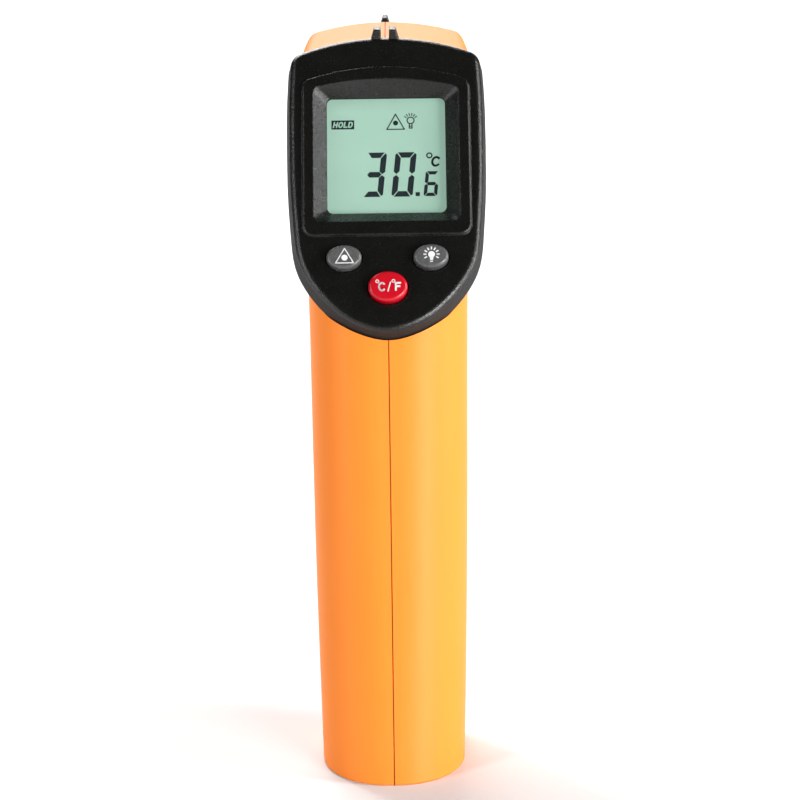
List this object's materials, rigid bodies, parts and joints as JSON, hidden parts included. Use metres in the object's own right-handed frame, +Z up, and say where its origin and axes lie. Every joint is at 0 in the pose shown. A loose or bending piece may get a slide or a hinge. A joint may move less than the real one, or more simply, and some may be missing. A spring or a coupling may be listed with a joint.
{
  "type": "infrared thermometer",
  "caption": "Pistol-grip infrared thermometer: orange clamshell grip, tilted display panel with push buttons, hinged trigger, nose lens and a hinged battery door.",
  "frame": {"origin": "centre of the overall box's lowest plane: the grip's flat base stands on z = 0", "axes": "+Y forward along the lens axis, +Z up, +X to the right of a person holding it and reading the display"},
  "size_m": [0.0434, 0.1009, 0.1525],
  "materials": {
    "orange_shell": "satin",
    "black_shell": "fine spark-eroded grain",
    "clear_window": "polished",
    "grey_button": "gloss",
    "red_button": "gloss",
    "display_glass": "polished",
    "white_plastic": "satin",
    "black_plastic": "satin",
    "circuit_board": "satin",
    "contact_rubber": "matte",
    "steel": "satin",
    "can_metal": "polished",
    "brass_barrel": "satin",
    "nickel": "satin",
    "lens_plastic": "satin",
    "cell_can": "gloss sleeve",
    "capacitor_can": "satin",
    "red_wire": "satin",
    "black_wire": "satin",
    "grey_wire": "satin"
  },
  "bodies": {
    "housing": {"backlight_diffuser": "white_plastic", "backlight_switch": "black_plastic", "battery_bridge": "nickel", "battery_lead_black": "black_wire", "battery_lead_red": "red_wire", "battery_left": "cell_can", "battery_right": "cell_can", "battery_tray": "black_plastic", "board_capacitors": "capacitor_can", "board_screws": "steel", "contact_strips": "contact_rubber", "crystal": "can_metal", "display_bezel": "black_shell", "display_window": "clear_window", "door_pin": "steel", "fresnel_lens": "lens_plastic", "laser_leads": "red_wire", "laser_module": "brass_barrel", "laser_switch": "black_plastic", "laser_window": "clear_window", "lcd_frame": "white_plastic", "lcd_glass": "display_glass", "lead_socket": "white_plastic", "left_shell": "orange_shell", "lens_ring": "black_plastic", "main_board": "circuit_board", "main_chip": "black_plastic", "negative_contact": "nickel", "nose_cone": "black_shell", "optics_holder": "black_plastic", "positive_contact": "nickel", "right_shell": "orange_shell", "sensor_board": "circuit_board", "sensor_leads": "grey_wire", "sensor_socket": "white_plastic", "shell_screws": "steel", "thermopile": "can_metal", "trigger_leads": "grey_wire", "trigger_pin": "steel", "trigger_spring": "steel", "trigger_switch": "black_plastic", "unit_switch": "black_plastic"},
    "trigger": {"trigger": "black_shell"},
    "trigger_switch_plunger": {"trigger_plunger": "white_plastic"},
    "laser_key": {"laser_button": "grey_button", "laser_plunger": "white_plastic"},
    "backlight_key": {"backlight_button": "grey_button", "backlight_plunger": "white_plastic"},
    "unit_key": {"unit_button": "red_button", "unit_plunger": "white_plastic"},
    "battery_door": {"battery_door": "black_shell"}
  },
  "joints": [
    {"name": "trigger_pull", "type": "hinge", "parent": "housing", "child": "trigger", "pos_m": [0, 0.0045, 0.104], "axis": [-1, 0, 0], "range_deg": [0, 8], "stiffness_Nm_per_rad": 0.5, "springref_deg": -5.73, "deforming": ["trigger_spring"]},
    {"name": "trigger_plunger_slide", "type": "slide", "parent": "housing", "child": "trigger_switch_plunger", "axis": [0, -1, 0], "range_m": [0, 0.00159]},
    {"name": "laser_key_press", "type": "slide", "parent": "housing", "child": "laser_key", "axis": [0, 0.809, -0.5878], "range_m": [0, 0.0006], "stiffness_N_per_m": 2500, "springref_m": -0.0002},
    {"name": "backlight_key_press", "type": "slide", "parent": "housing", "child": "backlight_key", "axis": [0, 0.809, -0.5878], "range_m": [0, 0.0006], "stiffness_N_per_m": 2500, "springref_m": -0.0002},
    {"name": "unit_key_press", "type": "slide", "parent": "housing", "child": "unit_key", "axis": [0, 0.809, -0.5878], "range_m": [0, 0.0006], "stiffness_N_per_m": 2500, "springref_m": -0.0002},
    {"name": "battery_door_hinge", "type": "hinge", "parent": "housing", "child": "battery_door", "pos_m": [0, -0.02173, 0.00575], "axis": [-1, 0, 0], "range_deg": [0, 75]}
  ],
  "couplings": [
    {"joint": "trigger_plunger_slide", "follows": "trigger_pull", "m_per_rad": 0.0113}
  ]
}
